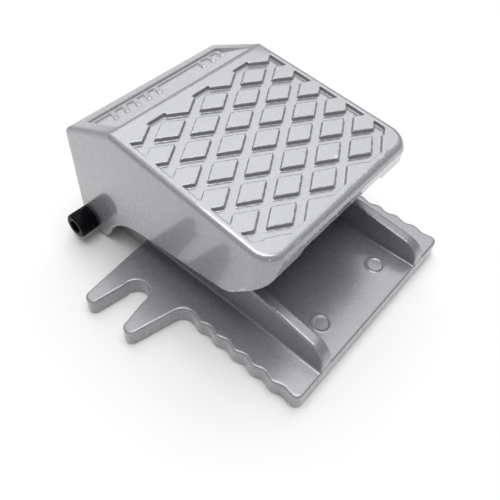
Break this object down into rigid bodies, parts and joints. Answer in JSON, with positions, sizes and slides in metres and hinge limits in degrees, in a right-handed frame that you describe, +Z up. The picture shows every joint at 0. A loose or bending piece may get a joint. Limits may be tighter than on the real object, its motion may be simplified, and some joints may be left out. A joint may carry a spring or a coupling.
{
  "type": "foot pedal air valve",
  "caption": "Foot-operated air valve: a cast treadle with a diamond tread hinged over a slotted cast base, pushing a vertical spool in a ported block.",
  "frame": {"origin": "centre of the overall box at its bottom, on the floor plane under the base", "axes": "+X to the right seen from the front (the toe end), +Y to the rear (the hinge and port end), +Z up"},
  "size_m": [0.1272, 0.1098, 0.0585],
  "materials": {
    "cast": "satin silver-grey paint on a die casting",
    "block": "machined and bead blasted",
    "steel": "ground",
    "spring_steel": "drawn wire",
    "black_steel": "black oxide",
    "bronze": "turned",
    "black_plastic": "moulded",
    "seal_rubber": "matt"
  },
  "bodies": {
    "frame": {"base": "cast", "valve_body": "block", "spool_spring": "spring_steel", "plunger_seal": "seal_rubber", "guide_bush": "bronze", "guide_bush_seal": "seal_rubber", "bush_circlip": "steel", "bottom_cap": "bronze", "bottom_cap_seal": "seal_rubber", "body_screws": "black_steel", "treadle_spring": "spring_steel", "pivot_screw_left": "black_steel", "pivot_screw_right": "black_steel", "pivot_washer_left": "black_steel", "pivot_washer_right": "black_steel", "pivot_sleeve_left": "black_plastic", "pivot_sleeve_right": "black_plastic", "bump_stop_left": "seal_rubber", "bump_stop_right": "seal_rubber"},
    "pedal": {"treadle": "cast", "treadle_spring_cup": "black_plastic"},
    "slider": {"spool": "steel", "spool_seals": "seal_rubber", "plunger": "steel"}
  },
  "joints": [
    {"name": "treadle_hinge", "type": "hinge", "parent": "frame", "child": "pedal", "pos_m": [0, 0.0494, 0.008], "axis": [1, 0, 0], "range_deg": [0, 10], "stiffness_Nm_per_rad": 4.7, "springref_deg": -12.61, "deforming": ["treadle_spring"]},
    {"name": "spool_slide", "type": "slide", "parent": "frame", "child": "slider", "axis": [0, 0, -1], "range_m": [0, 0.0057], "stiffness_N_per_m": 500, "springref_m": -0.004, "deforming": ["spool_spring"]}
  ],
  "couplings": [
    {"joint": "spool_slide", "follows": "treadle_hinge", "m_per_rad": 0.0321}
  ]
}
